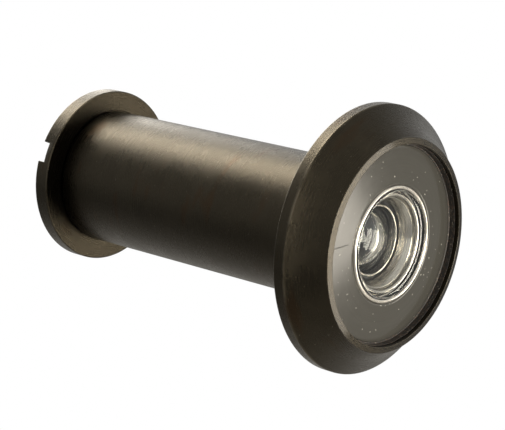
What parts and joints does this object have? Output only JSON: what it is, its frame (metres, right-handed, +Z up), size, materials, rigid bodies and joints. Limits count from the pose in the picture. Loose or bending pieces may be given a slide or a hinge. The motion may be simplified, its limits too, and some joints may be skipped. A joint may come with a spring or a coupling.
{
  "type": "door viewer",
  "caption": "Telescoping wide-angle door viewer: bevelled bronze head with a lens stack on a smooth barrel, and a slotted flange with an eyepiece that screws in from behind.",
  "frame": {"origin": "where the viewer's optical axis crosses the door's outer face, in the plane that the head seats on", "axes": "+Y along the optical axis towards indoors, +Z up, +X to the right when facing the door from outdoors"},
  "size_m": [0.0264, 0.041, 0.0264],
  "materials": {
    "bronze": "brass blackened to oil-rubbed bronze, satin",
    "nickel": "bright turned nickel plate",
    "lens_glass": "polished clear",
    "black_plastic": "flat black",
    "rubber": "flat black"
  },
  "bodies": {
    "outer_assembly": {"outer_barrel": "bronze", "front_lens": "lens_glass", "front_lens_gasket": "rubber", "front_lens_seal": "rubber", "objective_bezel_ring": "nickel", "objective_cell": "nickel", "funnel_ring": "nickel", "glare_ring": "black_plastic", "second_lens_bezel": "nickel", "second_lens": "lens_glass", "lens_spacer_ring": "black_plastic", "third_lens": "lens_glass", "aperture_stop": "black_plastic", "objective_retaining_ring": "bronze"},
    "eyepiece": {"baffle_tube": "black_plastic", "eyepiece_seat_ring": "black_plastic", "eyepiece_lens": "lens_glass"},
    "inner_barrel": {"inner_barrel": "bronze", "eyepiece_retaining_ring": "black_plastic"}
  },
  "joints": [
    {"name": "eyepiece_advance", "type": "slide", "parent": "outer_assembly", "child": "eyepiece", "axis": [0, 1, 0], "range_m": [0, 0.022]},
    {"name": "inner_barrel_turn", "type": "hinge", "parent": "eyepiece", "child": "inner_barrel", "pos_m": [0, 0.035, 0], "axis": [0, 1, 0], "range_deg": [0, 7925]}
  ],
  "couplings": [
    {"joint": "inner_barrel_turn", "follows": "eyepiece_advance", "rad_per_m": 6283.2}
  ]
}
